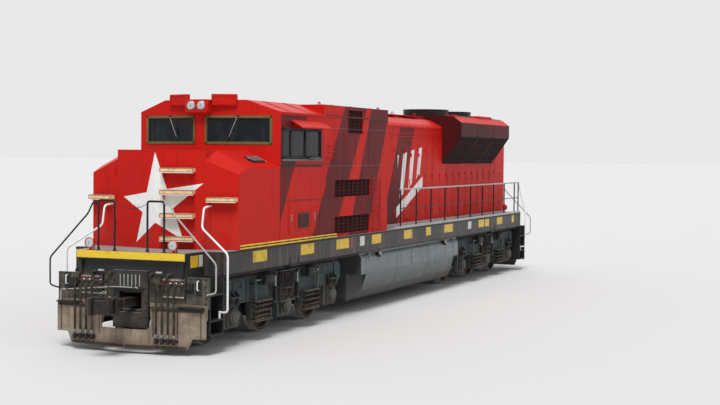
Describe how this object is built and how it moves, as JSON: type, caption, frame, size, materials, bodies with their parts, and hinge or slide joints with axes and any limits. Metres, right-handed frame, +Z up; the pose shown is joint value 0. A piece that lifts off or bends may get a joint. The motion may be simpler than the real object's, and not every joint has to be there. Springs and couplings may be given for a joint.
{
  "type": "diesel locomotive",
  "caption": "Diesel freight locomotive with a full-width nose and cab, long hood with flared radiator, walkways with railings, swinging trucks, couplers, doors and fans",
  "frame": {"origin": "under the middle of the locomotive, level with the lowest point of the wheel flanges", "axes": "+X is forward, towards the nose; +Y is to the driver's left; +Z is up"},
  "size_m": [22.604, 3.62, 4.8298],
  "materials": {
    "red_paint": "gloss red enamel, slightly dusty",
    "frame_paint": "dark grey frame paint with rust streaks",
    "plow_paint": "worn grey-brown paint with road grime",
    "truck_paint": "grey-green truck paint with brake dust",
    "tank_paint": "satin grey paint",
    "black_paint": "satin black paint",
    "white_paint": "white enamel",
    "tread_steel": "cream painted steel treads",
    "window": "dark tinted glass in olive painted frames",
    "seat_vinyl": "dark vinyl",
    "wheel_steel": "forged steel, bright on the tread",
    "cast_steel": "rusty cast steel",
    "hose_rubber": "dusty black rubber hose",
    "engine_paint": "grey engine enamel"
  },
  "bodies": {
    "locomotive": {"deck_plate": "frame_paint", "side_sills": "frame_paint", "center_sills": "frame_paint", "body_bolsters": "frame_paint", "draft_pockets": "frame_paint", "end_platforms": "frame_paint", "plows": "plow_paint", "corner_steps": "black_paint", "fuel_tank": "tank_paint", "nose": "red_paint", "nose_treads": "tread_steel", "cab": "red_paint", "cab_roof": "red_paint", "windscreens": "window", "side_windows": "window", "sun_visors": "red_paint", "number_boards": "red_paint", "seats": "seat_vinyl", "control_desk": "engine_paint", "electrical_cabinet": "red_paint", "engine_hood": "red_paint", "engine_block": "engine_paint", "radiator_housing": "red_paint", "fan_shrouds": "black_paint", "side_railings": "black_paint", "end_railings": "black_paint", "grab_rails": "white_paint", "ditch_lights": "white_paint", "end_hoses": "hose_rubber"},
    "front_truck": {"front_truck_frame": "truck_paint", "front_truck_beams": "truck_paint", "front_truck_gear": "truck_paint"},
    "rear_truck": {"rear_truck_frame": "truck_paint", "rear_truck_beams": "truck_paint", "rear_truck_gear": "truck_paint"},
    "wheelset_1": {"wheelset_1": "wheel_steel"},
    "wheelset_2": {"wheelset_2": "wheel_steel"},
    "wheelset_3": {"wheelset_3": "wheel_steel"},
    "wheelset_4": {"wheelset_4": "wheel_steel"},
    "wheelset_5": {"wheelset_5": "wheel_steel"},
    "wheelset_6": {"wheelset_6": "wheel_steel"},
    "front_coupler": {"front_coupler": "cast_steel"},
    "front_knuckle": {"front_knuckle": "cast_steel"},
    "rear_coupler": {"rear_coupler": "cast_steel"},
    "rear_knuckle": {"rear_knuckle": "cast_steel"},
    "cab_door": {"cab_door": "red_paint"},
    "left_hood_door": {"left_hood_door": "red_paint"},
    "right_hood_door": {"right_hood_door": "red_paint"},
    "front_fan": {"front_fan": "black_paint"},
    "rear_fan": {"rear_fan": "black_paint"}
  },
  "joints": [
    {"name": "front_truck_swing", "type": "hinge", "parent": "locomotive", "child": "front_truck", "pos_m": [6.7, 0, 1.3], "axis": [0, 0, 1], "range_deg": [-4, 4]},
    {"name": "rear_truck_swing", "type": "hinge", "parent": "locomotive", "child": "rear_truck", "pos_m": [-6.7, 0, 1.3], "axis": [0, 0, 1], "range_deg": [-4, 4]},
    {"name": "wheelset_1_roll", "type": "hinge", "parent": "front_truck", "child": "wheelset_1", "pos_m": [8.93, 0, 0.561], "axis": [0, 1, 0], "continuous": true},
    {"name": "wheelset_2_roll", "type": "hinge", "parent": "front_truck", "child": "wheelset_2", "pos_m": [6.7, 0, 0.561], "axis": [0, 1, 0], "continuous": true},
    {"name": "wheelset_3_roll", "type": "hinge", "parent": "front_truck", "child": "wheelset_3", "pos_m": [4.47, 0, 0.561], "axis": [0, 1, 0], "continuous": true},
    {"name": "wheelset_4_roll", "type": "hinge", "parent": "rear_truck", "child": "wheelset_4", "pos_m": [-4.47, 0, 0.561], "axis": [0, 1, 0], "continuous": true},
    {"name": "wheelset_5_roll", "type": "hinge", "parent": "rear_truck", "child": "wheelset_5", "pos_m": [-6.7, 0, 0.561], "axis": [0, 1, 0], "continuous": true},
    {"name": "wheelset_6_roll", "type": "hinge", "parent": "rear_truck", "child": "wheelset_6", "pos_m": [-8.93, 0, 0.561], "axis": [0, 1, 0], "continuous": true},
    {"name": "front_coupler_swing", "type": "hinge", "parent": "locomotive", "child": "front_coupler", "pos_m": [9.777, 0, 0.904], "axis": [0, 0, 1], "range_deg": [-10, 10]},
    {"name": "rear_coupler_swing", "type": "hinge", "parent": "locomotive", "child": "rear_coupler", "pos_m": [-9.777, 0, 0.904], "axis": [0, 0, 1], "range_deg": [-10, 10]},
    {"name": "front_knuckle_open", "type": "hinge", "parent": "front_coupler", "child": "front_knuckle", "pos_m": [11.09, 0.13, 0.904], "axis": [0, 0, 1], "range_deg": [0, 45]},
    {"name": "rear_knuckle_open", "type": "hinge", "parent": "rear_coupler", "child": "rear_knuckle", "pos_m": [-11.09, -0.13, 0.904], "axis": [0, 0, 1], "range_deg": [0, 45]},
    {"name": "cab_door_swing", "type": "hinge", "parent": "locomotive", "child": "cab_door", "pos_m": [5.215, -1.07, 3.358], "axis": [0, 0, 1], "range_deg": [-80, 0]},
    {"name": "left_hood_door_swing", "type": "hinge", "parent": "locomotive", "child": "left_hood_door", "pos_m": [-0.8, 1.04, 2.9], "axis": [0, 0, 1], "range_deg": [-110, 0]},
    {"name": "right_hood_door_swing", "type": "hinge", "parent": "locomotive", "child": "right_hood_door", "pos_m": [-0.8, -1.04, 2.9], "axis": [0, 0, 1], "range_deg": [0, 110]},
    {"name": "front_fan_spin", "type": "hinge", "parent": "locomotive", "child": "front_fan", "pos_m": [-5.21, 0, 4.74], "axis": [0, 0, 1], "continuous": true},
    {"name": "rear_fan_spin", "type": "hinge", "parent": "locomotive", "child": "rear_fan", "pos_m": [-7.25, 0, 4.74], "axis": [0, 0, 1], "continuous": true}
  ]
}
